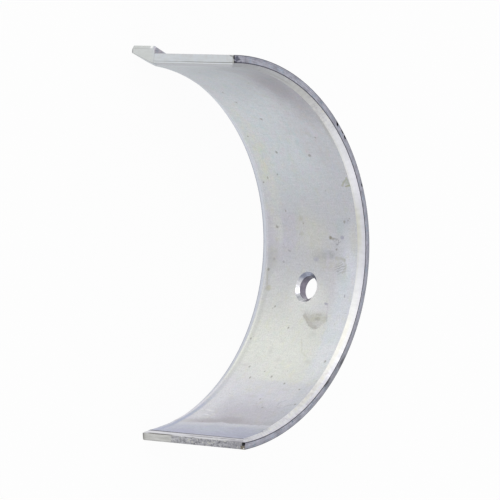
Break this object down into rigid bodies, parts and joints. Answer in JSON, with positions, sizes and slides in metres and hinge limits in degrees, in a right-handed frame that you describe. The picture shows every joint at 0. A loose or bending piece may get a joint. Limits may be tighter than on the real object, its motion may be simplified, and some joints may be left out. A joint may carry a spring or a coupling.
{
  "type": "engine bearing shell",
  "caption": "Plain half-round bearing shell for a connecting rod, with a countersunk oil hole and a pressed locating tang at one corner.",
  "frame": {"origin": "on the bore's axis, at half the shell's width", "axes": "+Z along the bore's axis and up, as the shell stands on its lower end face; +Y towards the crown; the joint faces look towards -Y; the tang is at -X and at the lower end"},
  "size_m": [0.0506, 0.0236, 0.0186],
  "materials": {
    "bearing_metal": "satin"
  },
  "bodies": {
    "root": {"bearing_shell": "bearing_metal"}
  },
  "joints": []
}
